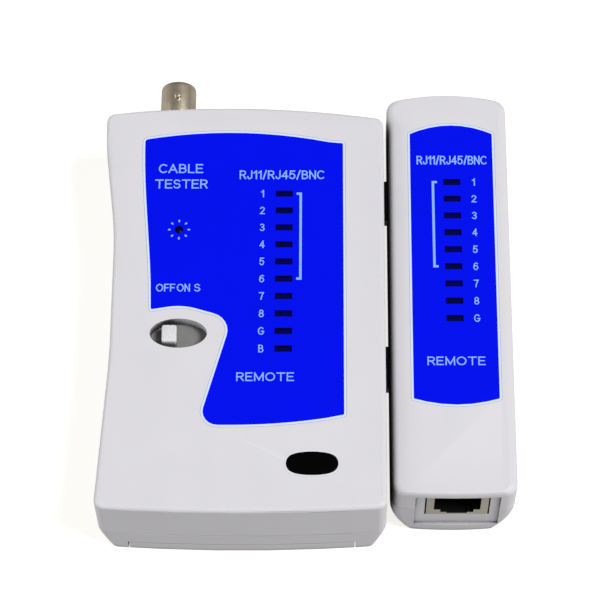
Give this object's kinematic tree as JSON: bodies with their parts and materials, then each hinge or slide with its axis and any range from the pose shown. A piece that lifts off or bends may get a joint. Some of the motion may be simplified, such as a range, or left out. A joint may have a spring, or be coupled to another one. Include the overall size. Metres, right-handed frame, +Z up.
{
  "type": "network cable tester",
  "caption": "Hand-held network cable tester with indicator rows, slide switch and coaxial and modular jacks; its remote unit slides on to one side.",
  "frame": {"origin": "on the ground under the middle of the outline of both units", "axes": "+Z up out of the front faces, +Y along the units towards the end with the coaxial jack, +X from the main unit to the remote unit"},
  "size_m": [0.1084, 0.1316, 0.0283],
  "materials": {
    "case_front": "fine satin moulded",
    "case_back": "fine satin moulded",
    "label_print": "printed overlay, semi-gloss",
    "badge_black": "gloss",
    "circuit_board": "solder mask",
    "led_lens": "tinted, unlit",
    "power_led_lens": "tinted, unlit",
    "switch_metal": "stamped",
    "knob_white": "moulded",
    "shutter_grey": "moulded",
    "jack_plastic": "moulded",
    "gold_contact": "gold flash",
    "nickel": "nickel plate",
    "insulator_white": "moulded",
    "battery_jacket": "printed foil",
    "black_plastic": "moulded",
    "lead_insulation": "satin",
    "resistor_body": "lacquer",
    "capacitor_sleeve": "shrink sleeve",
    "screw_steel": "zinc plated"
  },
  "bodies": {
    "main_unit": {"main_front_shell": "case_front", "main_back_shell": "case_back", "main_label": "label_print", "blank_badge": "badge_black", "main_pcb": "circuit_board", "main_leds": "led_lens", "power_led": "power_led_lens", "power_switch_body": "switch_metal", "main_rj45_housing": "jack_plastic", "main_rj45_contacts": "gold_contact", "main_rj11_housing": "jack_plastic", "main_rj11_contacts": "gold_contact", "bnc_shell": "nickel", "bnc_insulator": "insulator_white", "bnc_center_contact": "gold_contact", "bnc_washer": "nickel", "bnc_nut": "nickel", "battery_9v": "battery_jacket", "battery_terminals": "nickel", "battery_snap": "black_plastic", "battery_leads": "lead_insulation", "main_counter_chip": "black_plastic", "main_timer_chip": "black_plastic", "main_resistors": "resistor_body", "main_capacitors": "capacitor_sleeve", "main_case_screws": "screw_steel", "main_pcb_screws": "screw_steel"},
    "power_switch": {"power_switch_knob": "knob_white", "switch_shutter": "shutter_grey"},
    "battery_door": {"battery_cover": "case_back"},
    "remote_unit": {"remote_front_shell": "case_front", "remote_back_shell": "case_back", "remote_label": "label_print", "remote_pcb": "circuit_board", "remote_leds": "led_lens", "remote_diodes": "black_plastic", "remote_resistors": "resistor_body", "remote_rj45_housing": "jack_plastic", "remote_rj45_contacts": "gold_contact", "remote_rj11_housing": "jack_plastic", "remote_rj11_contacts": "gold_contact", "remote_case_screws": "screw_steel"}
  },
  "joints": [
    {"name": "power_switch_slide", "type": "slide", "parent": "main_unit", "child": "power_switch", "axis": [1, 0, 0], "range_m": [0, 0.0048]},
    {"name": "battery_cover_slide", "type": "slide", "parent": "main_unit", "child": "battery_door", "axis": [0, -1, 0], "range_m": [0, 0.036]},
    {"name": "remote_slide", "type": "slide", "parent": "main_unit", "child": "remote_unit", "axis": [0, -1, 0], "range_m": [0, 0.0875]}
  ]
}
